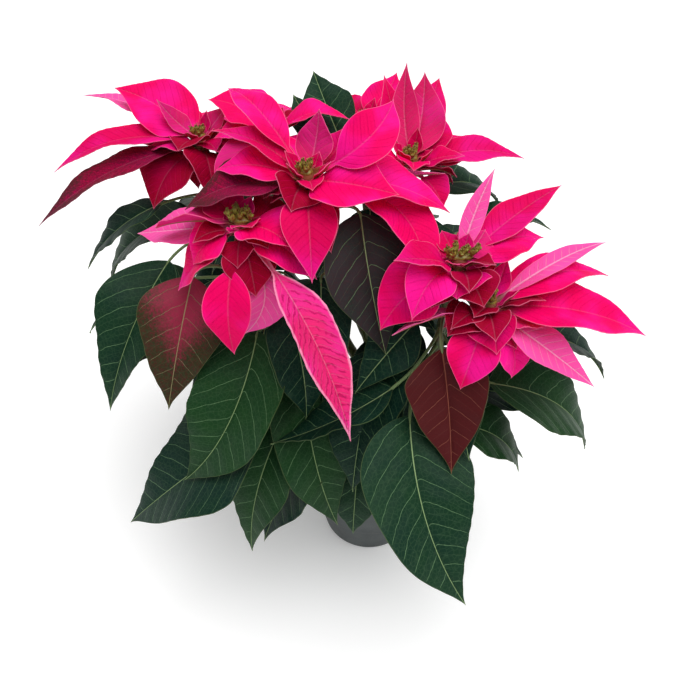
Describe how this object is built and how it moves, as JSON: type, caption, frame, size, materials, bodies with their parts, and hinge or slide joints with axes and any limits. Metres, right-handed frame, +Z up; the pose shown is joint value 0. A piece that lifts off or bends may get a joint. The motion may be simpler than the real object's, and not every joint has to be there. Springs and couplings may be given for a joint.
{
  "type": "potted poinsettia",
  "caption": "Flowering poinsettia with pink bracts, dark green stalked leaves and small bud clusters, branching from one woody stem in a tapered plastic pot filled with soil.",
  "frame": {"origin": "centre of the pot's underside, on the surface it stands on", "axes": "+Z up along the pot's axis; the side the plant shows best faces -Y; +X to the right seen from there"},
  "size_m": [0.4189, 0.3782, 0.4032],
  "materials": {
    "pot_plastic": "matte dark grey moulded plastic",
    "peat_soil": "loose dark peat compost",
    "woody_stem": "greenish brown bark",
    "leaf": "satin dark green leaf with pale veins",
    "bract": "soft satin hot pink bract with fine veins",
    "bud": "waxy olive bud with yellow tips"
  },
  "bodies": {
    "root": {"pot": "pot_plastic", "soil": "peat_soil", "trunk": "woody_stem", "shoot_1": "leaf", "shoot_2": "leaf", "shoot_3": "leaf", "shoot_4": "leaf", "shoot_5": "leaf", "shoot_6": "leaf", "shoot_7": "leaf", "shoot_8": "leaf", "bloom_1": "bract", "bloom_2": "bract", "bloom_3": "bract", "bloom_4": "bract", "bloom_5": "bract", "bloom_6": "bract", "bloom_7": "bract", "bloom_8": "bract", "buds_1": "bud", "buds_2": "bud", "buds_3": "bud", "buds_4": "bud", "buds_5": "bud", "buds_6": "bud", "buds_7": "bud", "buds_8": "bud"}
  },
  "joints": []
}
